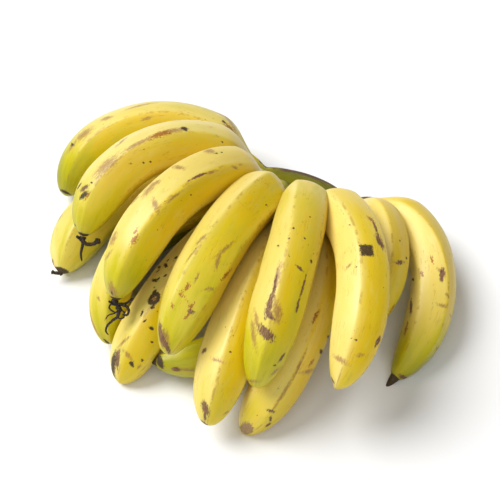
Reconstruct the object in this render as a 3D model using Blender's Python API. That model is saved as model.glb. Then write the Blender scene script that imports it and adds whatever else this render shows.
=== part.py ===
"""A hand of fifteen bananas, cut from its stem by the crown and laid palm down.

The fingers grow from the crown in two rows: eight in the upper, outer row and seven in the lower,
inner row. Lengths are in millimetres and angles in degrees until a mesh is made, which is in metres.
The table is z = 0, +X runs along the crown, the tips point towards -Y and +Z is up.
"""

import math
from typing import NamedTuple

import bmesh
import bpy
import numpy as np

MM = 0.001


class Finger(NamedTuple):
    """One banana: where it leaves the crown, how it bends and how big it is."""

    root: float          # place round the crown, degrees from its middle
    leave_heading: float  # plan direction at the crown, from -Y towards +X
    leave_rise: float    # angle above the horizon at the crown
    length: float        # along the axis, crown to blossom end
    tip_heading: float   # plan direction at the blossom end
    tip_dip: float       # angle below the horizon at the blossom end
    bend: float          # below 1 the finger bends near the crown, above 1 near the tip
    girth: float         # thickness over the ridges
    blunt: float         # length over which the tip narrows
    roll: float          # turn of the five ridges round the axis, at half length
    twist: float         # how much the ridges wind from the crown to the tip
    rests: bool = False  # lies on the table
    nub: float = 1.5     # length of the blossom end's nub
    nub_taper: float = 0.6  # size of the nub's end, as a share of its start


# Upper row, from the left end of the hand to the right
UPPER = (
    Finger(-75, -110, 28, 187, 4, 35, 1.21, 41, 52, -11, 0),
    Finger(-58, -88, 52, 183, 6, 40, 1.06, 38, 44, -15, 30, nub=2.0),
    Finger(-42, -37, 58, 193, 3, 47, 1.12, 39, 52, -29, 50, nub=2.0),
    Finger(-17, -5, 57, 196, 1, 33, 0.81, 41, 58, 4, 45),
    Finger(10, 28, 55, 204, -2, 53, 1.09, 39, 60, 11, -40),
    Finger(17, 59, 41, 200, -11, 45, 1.35, 38, 54, 10, -25),
    Finger(74, 75, 49, 142, -9, 37, 0.95, 34, 58, -8, -40),
    Finger(86, 112, 30, 185, -23, 28, 0.75, 35, 60, -22, -100, rests=True, nub=10.0, nub_taper=0.4),
)

# Lower row, from the left end to the right
LOWER = (
    Finger(-75, -98, 25, 185, 8, 16, 0.85, 42, 41, -8, 0, rests=True, nub=6.0),
    Finger(-50, -68, 13, 159, 15, 23, 0.88, 34, 43, 0, 0),
    Finger(-32, -54, 37, 193, 39, 50, 1.31, 31, 42, -5, 0),
    Finger(-19, -23, 39, 183, -6, 22, 0.86, 37, 31, -12, 30, rests=True),
    Finger(11, 21, -5, 174, -68, 3, 1.48, 31, 50, 8, 15, nub=6.0),
    Finger(5, 6, 34, 195, 6, 44, 1.22, 40, 50, -2, -10),
    Finger(24, 46, 37, 194, -26, 37, 0.95, 37, 42, -25, -65, rests=True),
)

# Middle of the hand's box in the layout above
HAND_MIDDLE = (-20.45, 1.35)

# Crown: a pad round the point where the fruit stem's axis crossed it
CROWN_CENTRE = np.array([0.0, 97.0, 3.0])
CROWN_TILT = math.radians(42.0)
ROOT_RADIUS = 38.0
ROW_OFFSET = 10.0
PAD_HALF_WIDTH = 44.0
PAD_HALF_DEPTH = 34.0
PAD_ABOVE = 24.0
PAD_BELOW = 17.0
PAD_FORWARD = 10.0
PAD_SHIFT = -4.0
PAD_SQUARENESS = 0.72
PAD_RINGS = 11
PAD_SIDES = 28
CUT_HEIGHT = 19.0
CUT_BACK = 118.0
CUT_SLOPE = math.radians(31.0)

# Every finger
AXIS_STEPS = 60
SIDES = 15
RIDGES = 5
RIDGE_DEPTH = 0.10
NECK_RADIUS = 7.5
NECK_LENGTH = 16.0
SHOULDER_LENGTH = 34.0
NUB_SHARE = 0.22
NECK_STATIONS = (0.0, 14.0, 24.0, 34.0, 43.0)
BODY_RINGS = 5
BLUNT_SHARES = (0.67, 0.42, 0.22, 0.09, 0.025, 0.0)
REST_DEPTH = 0.6
CLEAR_HEIGHT = 1.2

# Dried flowers that still hang on two of the upper fingers. Each strand is its radius at both ends
# and its points, measured from the middle of the finger's blossom end
FLOWER_GAP = 0.4
STUB_RADIUS = 2.8
STUB_LENGTH = 4.0
STUB_SIDES = 12
STRAND_SIDES = 6
LEFT_STRANDS = (
    (1.1, 0.7, ((0.5, -3.6, -3.0), (-1.4, -4.2, -1.6), (-2.6, -5.6, 1.6))),
    (1.2, 1.5, ((0.6, -3.6, -3.0), (2.9, -4.6, -4.2), (5.6, -4.4, -4.6), (9.1, -2.4, -4.2),
                (12.1, 1.6, -2.0))),
    (1.1, 0.5, ((0.8, -3.6, -3.0), (1.8, -5.6, -4.6), (2.4, -8.9, -7.1), (3.1, -11.7, -9.3),
                (5.4, -14.9, -12.3))),
)
MIDDLE_STRANDS = (
    (1.5, 0.6, ((1.0, -3.2, -3.2), (4.6, -4.4, -4.8), (5.5, -9.0, -8.2), (3.3, -12.5, -10.0),
                (1.3, -16.3, -12.0), (1.5, -19.6, -14.4), (4.2, -20.8, -16.1))),
    (1.3, 0.8, ((1.0, -3.0, -3.0), (7.9, -1.8, -3.8), (10.8, -2.8, -5.6), (11.0, -5.6, -7.6),
                (7.9, -6.9, -7.5))),
    (1.1, 0.7, ((1.0, -3.2, -3.2), (-1.0, -4.4, -2.6), (-2.2, -6.0, 1.2))),
    (1.2, 0.6, ((2.0, -3.2, -3.2), (7.2, -0.8, -2.8), (9.2, 1.6, -1.6), (10.6, 4.2, -0.2))),
    (2.2, 1.7, ((3.0, -4.2, -4.2), (5.2, -5.2, -5.4), (6.4, -5.8, -6.6))),
)

AXIS_OUT = np.array([0.0, -math.cos(CROWN_TILT), math.sin(CROWN_TILT)])
AXIS_DOWN = np.array([0.0, -math.sin(CROWN_TILT), -math.cos(CROWN_TILT)])
AXIS_SIDE = np.array([1.0, 0.0, 0.0])


def clear_scene():
    """Remove every object, so that the script can be run again."""
    for obj in list(bpy.data.objects):
        bpy.data.objects.remove(obj, do_unlink=True)


def make_material(name, colour, roughness):
    """Return a plain material of the part's colour."""
    material = bpy.data.materials.new(name)
    material.use_nodes = True
    shader = material.node_tree.nodes["Principled BSDF"]
    shader.inputs["Base Color"].default_value = (*colour, 1.0)
    shader.inputs["Roughness"].default_value = roughness
    shader.inputs["Metallic"].default_value = 0.0
    return material


def make_object(name, points, faces):
    """Return a mesh object from points in layout millimetres, outward normals checked."""
    centred = (np.asarray(points) - np.array([*HAND_MIDDLE, 0.0])) * MM
    mesh = bpy.data.meshes.new(name)
    mesh.from_pydata([tuple(point) for point in centred], [], faces)
    solid = bmesh.new()
    solid.from_mesh(mesh)
    bmesh.ops.recalc_face_normals(solid, faces=solid.faces)
    solid.to_mesh(mesh)
    solid.free()
    obj = bpy.data.objects.new(name, mesh)
    bpy.context.scene.collection.objects.link(obj)
    return obj


def loft(name, rings):
    """Return a closed tube through rings that have the same number of points."""
    count = len(rings[0])
    faces = []
    for row in range(len(rings) - 1):
        for side in range(count):
            step = (side + 1) % count
            low, high = row * count, (row + 1) * count
            faces.append((low + side, low + step, high + step))
            faces.append((low + side, high + step, high + side))
    faces.append(tuple(range(count)))
    faces.append(tuple(range((len(rings) - 1) * count, len(rings) * count)))
    return make_object(name, np.vstack(rings), faces)


def heading_vector(heading, dip):
    """Return the unit vector for a plan heading and an angle below the horizon."""
    turn, fall = math.radians(heading), math.radians(dip)
    level = math.cos(fall)
    return np.array([math.sin(turn) * level, -math.cos(turn) * level, -math.sin(fall)])


def root_point(finger, row):
    """Return where a finger's axis leaves the crown."""
    turn = math.radians(finger.root)
    around = ROOT_RADIUS * (AXIS_OUT * math.cos(turn) + AXIS_SIDE * math.sin(turn))
    return CROWN_CENTRE + around - AXIS_DOWN * row


def tangents(finger, shares):
    """Return the axis directions at shares of the length, turned from leaving to tip direction."""
    start = heading_vector(finger.leave_heading, -finger.leave_rise)
    end = heading_vector(finger.tip_heading, finger.tip_dip)
    angle = math.acos(float(np.clip(start @ end, -1.0, 1.0)))
    turn = (np.asarray(shares) ** finger.bend)[:, None]
    return (np.sin((1.0 - turn) * angle) * start + np.sin(turn * angle) * end) / math.sin(angle)


def axis_points(finger, row, stations):
    """Return the axis points at distances from the crown."""
    mids = (np.arange(AXIS_STEPS) + 0.5) / AXIS_STEPS
    steps = tangents(finger, mids) * finger.length / AXIS_STEPS
    line = root_point(finger, row) + np.vstack([np.zeros(3), np.cumsum(steps, axis=0)])
    grid = np.linspace(0.0, finger.length, AXIS_STEPS + 1)
    return np.column_stack([np.interp(stations, grid, line[:, k]) for k in range(3)])


def skin_radius(finger, stations):
    """Return the radius over the ridges at distances from the crown."""
    rise = np.clip((stations - NECK_LENGTH) / SHOULDER_LENGTH, 0.0, 1.0)
    rise = rise * rise * (3.0 - 2.0 * rise)
    left = np.clip((finger.length - stations) / finger.blunt, 0.0, 1.0)
    blunt = NUB_SHARE + (1.0 - NUB_SHARE) * (1.0 - (1.0 - left) ** 2.3) ** 0.75
    return (NECK_RADIUS + (finger.girth / 2 - NECK_RADIUS) * rise) * blunt


def finger_stations(finger):
    """Return the ring distances: close together at the shoulder and the blunt end."""
    shoulder = NECK_LENGTH + SHOULDER_LENGTH
    body = np.linspace(shoulder, finger.length - finger.blunt, BODY_RINGS)
    blunt = finger.length - finger.blunt * np.array(BLUNT_SHARES)
    return np.concatenate([NECK_STATIONS, body, blunt])


def finger_rings(finger, row):
    """Return a finger's ridged rings, settled on the table or clear of it."""
    stations = finger_stations(finger)
    shares = stations / finger.length
    centres = axis_points(finger, row, stations)
    along = tangents(finger, np.clip(shares, 0.001, 1.0))
    up = np.array([0.0, 0.0, 1.0]) - along * along[:, 2:3]
    up /= np.linalg.norm(up, axis=1)[:, None]
    side = np.cross(along, up)
    centres = np.vstack([centres, centres[-1] + along[-1] * finger.nub])
    up, side = np.vstack([up, up[-1]]), np.vstack([side, side[-1]])
    shares = np.append(shares, 1.0)
    radius = skin_radius(finger, stations)
    radius = np.append(radius, radius[-1] * finger.nub_taper)
    from_ridge = np.radians(np.arange(SIDES) * 360.0 / SIDES)
    winding = np.radians(finger.roll + finger.twist * (shares - 0.5))
    angles = winding[:, None] + from_ridge
    ridge = 1.0 - RIDGE_DEPTH * (0.5 - 0.5 * np.cos(RIDGES * from_ridge))
    reach = radius[:, None, None] * ridge[None, :, None]
    spokes = np.cos(angles)[:, :, None] * up[:, None, :]
    spokes = spokes + np.sin(angles)[:, :, None] * side[:, None, :]
    rings = centres[:, None, :] + reach * spokes
    return settle(finger, rings, shares)


def settle(finger, rings, shares):
    """Bend a finger up or down until its lowest skin point is where the table wants it."""
    weight = (shares ** 2)[:, None]
    free = shares > 0.4
    for _ in range(3):
        heights = rings[free, :, 2]
        row = int(heights.min(axis=1).argmin())
        target = -REST_DEPTH if finger.rests else CLEAR_HEIGHT
        change = target - heights.min()
        if finger.rests or change > 0.0:
            rings[:, :, 2] += change * weight / weight[free][row]
    return rings


def build_pad():
    """Return the crown's pad, a squared ellipsoid with its flat cut face at the back."""
    rings = []
    for step in range(1, PAD_RINGS):
        tilt = math.pi * step / PAD_RINGS
        thickness = PAD_ABOVE if math.cos(tilt) > 0.0 else PAD_BELOW
        height = thickness * math.copysign(abs(math.cos(tilt)) ** PAD_SQUARENESS, math.cos(tilt))
        reach = math.sin(tilt) ** PAD_SQUARENESS
        turn = np.arange(PAD_SIDES) * 2.0 * math.pi / PAD_SIDES
        across = PAD_SHIFT + PAD_HALF_WIDTH * reach * np.sin(turn)
        out = PAD_FORWARD + PAD_HALF_DEPTH * reach * np.cos(turn)
        ring = CROWN_CENTRE + across[:, None] * AXIS_SIDE + out[:, None] * AXIS_OUT - height * AXIS_DOWN
        rings.append(ring)
    pad = loft("crown_pad", rings)
    cut_edge = (np.array([0.0, CUT_BACK, CUT_HEIGHT]) - np.array([*HAND_MIDDLE, 0.0])) * MM
    normal = (0.0, math.sin(CUT_SLOPE), -math.cos(CUT_SLOPE))
    solid = bmesh.new()
    solid.from_mesh(pad.data)
    geometry = solid.verts[:] + solid.edges[:] + solid.faces[:]
    bmesh.ops.bisect_plane(solid, geom=geometry, plane_co=cut_edge, plane_no=normal, clear_outer=True)
    bmesh.ops.holes_fill(solid, edges=[edge for edge in solid.edges if edge.is_boundary])
    bmesh.ops.recalc_face_normals(solid, faces=solid.faces)
    solid.to_mesh(pad.data)
    solid.free()
    return pad


def build_table_cutter():
    """Return the block under z = 0 that flattens the low points where the hand rests."""
    low, high = np.array([-260.0, -220.0, -60.0]), np.array([260.0, 220.0, 0.0])
    corners = [(x, y, z) for z in (low[2], high[2]) for y in (low[1], high[1]) for x in (low[0], high[0])]
    faces = [(0, 2, 3, 1), (4, 5, 7, 6), (0, 1, 5, 4), (2, 6, 7, 3), (0, 4, 6, 2), (1, 3, 7, 5)]
    cutter = make_object("table_cutter", corners, faces)
    cutter.hide_render = True
    cutter.display_type = "WIRE"
    return cutter


def fuse(name, parts, cutters, material):
    """Join parts by one union on a collection, cut the result, and remove what made it."""
    group = bpy.data.collections.new(name + "_parts")
    bpy.context.scene.collection.children.link(group)
    for part in parts[1:]:
        bpy.context.scene.collection.objects.unlink(part)
        group.objects.link(part)
    base = parts[0]
    base.name = name
    union = base.modifiers.new("Join", "BOOLEAN")
    union.operation = "UNION"
    union.operand_type = "COLLECTION"
    union.collection = group
    union.solver = "EXACT"
    for cutter in cutters:
        cut = base.modifiers.new("Cut", "BOOLEAN")
        cut.operation = "DIFFERENCE"
        cut.object = cutter
        cut.solver = "EXACT"
    bpy.context.view_layer.update()
    graph = bpy.context.evaluated_depsgraph_get()
    fused = bpy.data.meshes.new_from_object(base.evaluated_get(graph))
    base.modifiers.clear()
    base.data = fused
    for helper in parts[1:] + cutters:
        bpy.data.objects.remove(helper, do_unlink=True)
    bpy.data.collections.remove(group)
    fused.materials.clear()
    fused.materials.append(material)
    fused.name = name
    fused.shade_smooth()
    fused.set_sharp_from_angle(angle=math.radians(50.0))
    return base


def strand(name, points, thick, thin):
    """Return a tapered tube along points: one dry strand of a flower."""
    path = np.array(points)
    along = np.gradient(path, axis=0)
    along /= np.linalg.norm(along, axis=1)[:, None]
    angles = np.arange(STRAND_SIDES) * 2.0 * math.pi / STRAND_SIDES
    sizes = np.linspace(thick, thin, len(path))
    side = np.cross(along[0], AXIS_SIDE)
    rings = []
    for point, ahead, size in zip(path, along, sizes):
        side = side - ahead * (side @ ahead)
        side /= np.linalg.norm(side)
        lift = np.cross(ahead, side)
        spokes = np.cos(angles)[:, None] * side + np.sin(angles)[:, None] * lift
        rings.append(point + size * spokes)
    return loft(name, rings)


def build_flower(name, finger, row, strands, material):
    """Return the dried flower on a finger's blossom end, its strands fused to a small stub."""
    rings = finger_rings(finger, row)
    end = rings[-2].mean(axis=0)
    ahead = rings[-1].mean(axis=0) - end
    ahead /= np.linalg.norm(ahead)
    start = end + ahead * (finger.nub + FLOWER_GAP)
    side = np.cross(ahead, np.array([0.0, 0.0, 1.0]))
    side /= np.linalg.norm(side)
    lift = np.cross(side, ahead)
    angles = np.arange(STUB_SIDES) * 2.0 * math.pi / STUB_SIDES
    spokes = np.cos(angles)[:, None] * side + np.sin(angles)[:, None] * lift
    middle = start + ahead * STUB_LENGTH / 2.0
    last = start + ahead * STUB_LENGTH
    wide = STUB_RADIUS * spokes
    parts = [loft(name + "_stub", [start + wide, middle + wide, last + 0.7 * wide])]
    for number, (thick, thin, points) in enumerate(strands):
        parts.append(strand(f"{name}_{number}", end + np.array(points), thick, thin))
    return fuse(name, parts, [], material)


def build_hand(material):
    """Return the whole hand: crown and fingers grown together."""
    parts = [build_pad()]
    for row, fingers in ((ROW_OFFSET, UPPER), (-ROW_OFFSET, LOWER)):
        for number, finger in enumerate(fingers):
            parts.append(loft(f"finger_{row:.0f}_{number}", finger_rings(finger, row)))
    return fuse("banana_hand", parts, [build_table_cutter()], material)


def main():
    """Build the hand and its two dried flowers."""
    clear_scene()
    skin = make_material("banana_skin", (0.86, 0.66, 0.10), 0.45)
    build_hand(skin)
    dark = make_material("dried_flower", (0.05, 0.035, 0.025), 0.85)
    build_flower("dried_flower_left", UPPER[1], ROW_OFFSET, LEFT_STRANDS, dark)
    curly = make_material("dried_flower_curly", (0.10, 0.06, 0.035), 0.85)
    build_flower("dried_flower_middle", UPPER[2], ROW_OFFSET, MIDDLE_STRANDS, curly)


main()
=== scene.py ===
"""A hand of ripe bananas lying palm down: fifteen fingers, their crown and two dried flowers.

Lengths are in millimetres and angles in degrees until a mesh is made, which is in metres. Until then
points are in the layout's frame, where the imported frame's origin is HAND_MIDDLE. The surface is z = 0,
+X runs along the crown and the tips point towards -Y.
"""

import logging
import math
from dataclasses import dataclass
from enum import Enum

import bpy
import numpy as np
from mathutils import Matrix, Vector


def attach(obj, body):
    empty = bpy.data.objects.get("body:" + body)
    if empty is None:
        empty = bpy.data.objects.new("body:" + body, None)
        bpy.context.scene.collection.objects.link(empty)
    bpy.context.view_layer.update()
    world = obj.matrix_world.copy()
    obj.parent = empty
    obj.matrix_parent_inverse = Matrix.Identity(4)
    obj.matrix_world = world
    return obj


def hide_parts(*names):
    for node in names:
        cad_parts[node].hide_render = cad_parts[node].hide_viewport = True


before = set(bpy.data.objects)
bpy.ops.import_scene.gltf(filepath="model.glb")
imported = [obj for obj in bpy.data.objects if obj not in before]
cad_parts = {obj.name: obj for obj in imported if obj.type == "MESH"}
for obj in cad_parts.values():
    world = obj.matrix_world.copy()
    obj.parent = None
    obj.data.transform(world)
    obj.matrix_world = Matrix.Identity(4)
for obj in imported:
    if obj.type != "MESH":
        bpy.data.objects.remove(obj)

LOG = logging.getLogger("hand_of_bananas")
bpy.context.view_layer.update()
MM = 0.001
FULL_TURN = 2 * math.pi
HAND_MIDDLE = np.array([-20.45, 1.35, 0.0])
HAND_NODE = "banana_hand"
SKIN_SLOT = "banana_skin"
FLOWER_SLOT = "dried_flower"
DENT_SEED = 500
STUB_SEED = 31
STRAND_SEED = 90
CENTIMETRES = (100.0, 100.0, 100.0)

Array = np.ndarray
Piece = bpy.types.Object
Material = bpy.types.Material
Socket = bpy.types.NodeSocket
Colour = tuple[float, float, float]
Point = tuple[float, float, float]
Span = tuple[float, float]


class Row(Enum):
    """The two rows that fingers grow in, with how far each stands off the crown's middle."""

    UPPER = 10.0
    LOWER = -10.0


class Mark(Enum):
    """The kinds of blemish on the skin, named as the attribute that carries each."""

    SCAR = "scar"
    SMEAR = "smear"
    BRUISE = "bruise"
    RUST = "rust"
    CORK = "cork"


class Form(Enum):
    """The outline that a blemish has."""

    OVAL = "oval"
    SQUARE = "square"
    RING = "ring"


@dataclass(frozen=True)
class Blemish:
    """One mark on a finger: its place along and around it, its size, its slant and its outline."""

    along: float
    around: float
    length: float
    width: float
    slant: float = 0.0
    form: Form = Form.OVAL
    square_edge: float = 1.6
    ring_middle: float = 0.66

    def field(self, stations: Array, angles: Array, radius: Array) -> Array:
        """Return 1 at the mark's middle, a half at its edge and 0 well beyond it.

        Args:
            stations: Distances from the crown.
            angles: Angles round the finger.
            radius: The radius at each station.

        Returns:
            The field by station and angle.
        """
        turn = angles[None, :] - math.radians(self.around)
        across = ((turn + math.pi) % FULL_TURN - math.pi) * radius[:, None]
        ahead = stations[:, None] - self.along
        slant = math.radians(self.slant)
        first = np.abs(ahead * math.cos(slant) + across * math.sin(slant)) / (self.length / 2)
        second = np.abs(across * math.cos(slant) - ahead * math.sin(slant)) / (self.width / 2)
        distance = np.hypot(first, second)
        if self.form is Form.SQUARE:
            distance = 1.0 + self.square_edge * (np.maximum(first, second) - 1.0)
        elif self.form is Form.RING:
            distance = np.abs(distance - self.ring_middle) / (1.0 - self.ring_middle)
        return np.clip(1.0 - 0.5 * distance, 0.0, 1.0)


# Each row gives along, around, length, width, slant and, for a mark that isn't oval, its form.
MARKS: dict[str, dict[Mark, tuple[tuple, ...]]] = {
    "upper_1": {
        Mark.SMEAR: (
            (104, 26, 17, 3.5, -15), (127, 19, 9, 4.5, 40), (145, 20, 13, 9.5, 30), (156, 24, 8, 4.5, 15),
            (45, 42, 18, 5.5, 30), (100, -24, 7, 2, -10),
        ),
        Mark.BRUISE: ((155, 29, 9, 2, -90), (47, 16, 3, 3.4, 30), (186, -5, 11, 2, -85)),
        Mark.RUST: ((41, 10, 8, 6, 0),),
    },
    "upper_2": {
        Mark.SMEAR: (
            (138, 4, 16, 9, 10), (119, 39, 9, 3, -20), (114, -6, 20, 3.5, 5), (88, -7, 15, 5, 0),
            (146, -1, 5, 2, 25),
        ),
        Mark.SCAR: ((156, 23, 10, 3.5, 60),),
        Mark.BRUISE: (
            (81, -5, 6, 4, 80), (156, 52, 6, 2, 40), (160, 15, 9, 4, 55), (118, -52, 2, 1.4, 75),
            (113, -59, 2, 1.4, 50), (126, -35, 2, 1.4, 75), (179, 47, 3, 1.4, -60), (55, -31, 2, 1.4, 20),
            (151, 8, 3, 1.4, -80),
        ),
        Mark.RUST: ((98, -7, 15, 5.5, 0), (159, 0, 6, 2, 20)),
    },
    "upper_3": {
        Mark.SMEAR: (
            (73, 22, 7, 5.5, 65), (88, -34, 9, 2, 10), (123, 34, 10, 5, -10), (118, 34, 8, 4.5, 25),
            (131, -11, 12, 3, -60), (159, 44, 8, 5.5, 20), (169, 44, 9, 2, 45), (188, 5, 10, 5.5, -30),
            (100, 22, 9, 3.5, 80), (66, -43, 5, 2, 30), (120, -28, 12, 2, 10), (133, 47, 6, 2, 15),
        ),
        Mark.SCAR: ((97, -28, 15, 2, 10),),
        Mark.BRUISE: (
            (71, 7, 2, 1.9, 75), (67, 6, 2, 1.9, 75), (190, 7, 3, 1.4, -25), (109, -52, 2, 1.4, 60),
        ),
        Mark.RUST: ((155, -14, 7, 3, 10), (150, -7, 4, 2, 5)),
    },
    "upper_4": {
        Mark.SMEAR: (
            (132, -34, 11, 3, -15), (123, -36, 14, 2.5, 20), (136, 19, 11, 2, 15), (125, 17, 8, 3, 25),
            (188, 2, 10, 3, -25), (151, -45, 8, 2, 60), (148, -12, 6, 2, 0),
        ),
        Mark.SCAR: ((168, -32, 6, 2.5, -90), (187, 32, 16, 7, -35), (192, 1, 11, 3.5, -40)),
        Mark.BRUISE: ((73, -55, 3, 1.4, 50),),
        Mark.RUST: (
            (156, -2, 6, 3, 20), (161, 2, 7, 2, -75), (165, -25, 6, 2, -65), (171, -29, 5, 2, 15),
            (169, 13, 4, 2, -50), (165, -29, 5, 2, 5), (136, -66, 11, 3, 25),
        ),
    },
    "upper_5": {
        Mark.SMEAR: (
            (137, 11, 15, 4, -5), (157, -11, 10, 5, -30), (171, 35, 17, 4, -35), (164, 32, 14, 3, -40),
            (151, -162, 10, 2, 5), (190, -64, 7, 2.5, 25), (200, 14, 11, 2, 70),
        ),
        Mark.SCAR: (
            (128, -30, 8, 2, -75), (142, 11, 18, 2, -10), (153, 11, 15, 5, 0), (159, 4, 8, 3.5, -60),
            (169, 1, 14, 6, -70), (167, 10, 8, 3.5, -65), (138, -50, 16, 2, 0), (149, -50, 9, 2.5, -5),
            (180, -61, 6, 2.5, 15),
        ),
        Mark.BRUISE: (
            (104, 5, 3, 1.4, -40), (112, 8, 2, 1.4, -50), (97, -11, 2, 1.4, -75), (116, 31, 3, 1.4, -50),
            (123, -1, 2, 1.4, -70), (120, -53, 3, 1.9, -50), (108, -24, 2, 1.4, -75),
            (90, -24, 2, 1.4, -90), (186, -51, 3, 1.4, -70),
        ),
    },
    "upper_6": {
        Mark.SMEAR: (
            (104, -47, 7, 2.5, 10), (177, -31, 6, 2, 75), (183, 17, 12, 3, -85), (124, 38, 6, 2, 60),
        ),
        Mark.SCAR: (
            (94, -42, 10, 2.5, 0), (101, -43, 6, 2.5, 0), (106, -44, 11, 5, -25), (167, -61, 6, 3, 0),
        ),
        Mark.BRUISE: (
            (115, -7, 10, 8, 84, Form.SQUARE), (93, 19, 2, 1.4, -40), (198, 42, 5, 2, -65),
            (126, 19, 2, 1.4, -60), (170, -7, 2, 1.4, -90), (169, 5, 2, 1.4, -70),
        ),
        Mark.RUST: ((87, -38, 6, 4, -40),),
    },
    "upper_7": {
        Mark.SCAR: ((96, -43, 11, 2.5, 70),),
        Mark.BRUISE: ((90, -68, 3, 1.4, -90), (82, -36, 2, 1.4, 80)),
        Mark.RUST: ((123, -85, 8, 2, -10),),
    },
    "upper_8": {
        Mark.SMEAR: (
            (109, -11, 5, 2, -40), (124, -36, 4, 2, -60), (133, -85, 10, 2, -90), (131, -29, 8, 2, 85),
            (155, -88, 10, 2, -80),
        ),
        Mark.SCAR: ((111, -17, 10, 4, 5), (135, 58, 14, 4, -25), (182, -68, 9, 3, 80)),
        Mark.BRUISE: ((111, 71, 6, 2, -55),),
        Mark.RUST: ((101, 8, 6, 2, -5), (111, 34, 5, 2, -20), (153, 47, 10, 4, -15)),
    },
    "lower_1": {
        Mark.SMEAR: ((153, 59, 7, 2, -10),),
        Mark.SCAR: ((183, 73, 7, 3, 55),),
        Mark.BRUISE: ((183, 71, 3, 1.4, 35),),
    },
    "lower_3": {
        Mark.SMEAR: ((178, 61, 17, 2.5, -10), (163, 23, 4, 2, -55)),
        Mark.BRUISE: ((191, 26, 5, 2, -25),),
    },
    "lower_4": {
        Mark.SMEAR: ((171, -55, 3, 2, 20), (169, -11, 9, 2, -75), (164, 16, 11, 2, 45)),
        Mark.SCAR: ((173, 19, 10, 4.5, -15),),
        Mark.BRUISE: (
            (177, 44, 15, 7, 25), (172, -31, 5, 2.5, -75), (167, -53, 3, 1.4, -80),
            (134, 0, 9, 9, 0, Form.RING), (130, 10, 4, 2.5, 20), (139, -9, 3, 2, 60),
            (111, 33, 7, 2.5, -65), (118, 12, 3, 2, 30), (104, 22, 3, 2, 80), (107, 40, 2.5, 1.6, 0),
            (116, 45, 3, 1.6, 40), (121, 24, 2.5, 1.8, 0), (113, 52, 5, 2, -70), (123, 61, 2, 1.4, 25),
            (123, 31, 8, 2.5, -90), (128, 18, 2, 1.4, -90), (148, -10, 3, 1.4, 35), (145, 6, 5, 2, -25),
            (155, -50, 3, 1.4, 80), (149, -32, 5, 2, 85),
        ),
        Mark.RUST: ((134, 1, 3.5, 3.5),),
    },
    "lower_5": {
        Mark.SMEAR: ((154, -67, 10, 2, 10),),
        Mark.SCAR: ((161, -65, 5, 4.5, 25),),
        Mark.BRUISE: ((171, -34, 12, 4.5, 75),),
    },
    "lower_6": {
        Mark.SMEAR: ((184, -67, 4, 2, 45), (155, 7, 10, 2, -85)),
        Mark.SCAR: (
            (184, 10, 9, 5.5, -35), (195, 29, 7, 3.5, -80), (189, 8, 7, 2.5, 0), (151, 49, 5, 3, 50),
        ),
        Mark.BRUISE: ((148, -15, 2, 1.4, -90), (158, -14, 2, 1.4, -75)),
    },
    "lower_7": {
        Mark.SMEAR: ((142, -40, 17, 2, -5), (161, -43, 22, 2, -5), (141, -82, 18, 2.5, 65)),
        Mark.SCAR: ((172, -45, 7, 2, 75), (180, -77, 4, 4, 20), (176, -61, 6, 2, -65)),
        Mark.BRUISE: ((126, -95, 7, 3, 80), (115, -97, 5, 2, 75)),
        Mark.RUST: ((113, -25, 9, 2, 5), (136, -75, 6, 3, 25)),
        Mark.CORK: ((190, -24, 10, 9.5, 50),),
    },
}


@dataclass(frozen=True)
class CrownPlan:
    """Where the crown lies and how large its pad is."""

    centre: Point = (0.0, 97.0, 3.0)
    tilt: float = 42.0
    root_radius: float = 38.0
    shift: float = -4.0
    half_width: float = 44.0
    half_depth: float = 34.0
    above: float = 24.0
    below: float = 17.0
    forward: float = 10.0
    squareness: float = 0.72
    cut_back: float = 118.0
    cut_height: float = 19.0
    cut_slope: float = 31.0

    def axes(self) -> tuple[Array, Array, Array]:
        """Return the unit vectors across the crown, out to its fingers and up through its rows."""
        tilt = math.radians(self.tilt)
        side = np.array([1.0, 0.0, 0.0])
        out = np.array([0.0, -math.cos(tilt), math.sin(tilt)])
        up = np.array([0.0, math.sin(tilt), math.cos(tilt)])
        return side, out, up

    def heart(self) -> Array:
        """Return the pad's middle."""
        side, out, _ = self.axes()
        return np.array(self.centre) + out * self.forward + side * self.shift

    def cut_plane(self) -> tuple[Array, Array]:
        """Return a point on the flat cut and its outward normal."""
        slope = math.radians(self.cut_slope)
        edge = np.array([0.0, self.cut_back, self.cut_height])
        return edge, np.array([0.0, math.sin(slope), -math.cos(slope)])

    def root(self, turn: float, row: Row) -> Array:
        """Return where a finger leaves the crown.

        Args:
            turn: Place round the crown, in degrees from its middle.
            row: The row that the finger grows in.

        Returns:
            The root point in layout millimetres.
        """
        side, out, up = self.axes()
        angle = math.radians(turn)
        around = self.root_radius * (out * math.cos(angle) + side * math.sin(angle))
        return np.array(self.centre) + around + up * row.value


@dataclass(frozen=True)
class Nub:
    """The blossom end: its length, how far it narrows, how dry it is and where it leans."""

    length: float = 1.4
    taper: float = 0.5
    dryness: float = 0.0
    lean: Point = (0.0, 0.0, 0.0)


@dataclass(frozen=True)
class Hue:
    """How green or pale one finger's peel is at its tip, on its underside and all over."""

    tip: float
    under: float
    base: float
    pale: float = 0.0


@dataclass(frozen=True)
class FingerPlan:
    """One banana: where it leaves the crown, how it bends, its girth and the look of its skin."""

    name: str
    row: Row
    root: float
    leave_heading: float
    leave_rise: float
    length: float
    tip_heading: float
    tip_dip: float
    bend: float
    girth: float
    blunt: float
    roll: float
    twist: float
    hue: Hue
    rests: bool = False
    nub: Nub = Nub()


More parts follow.
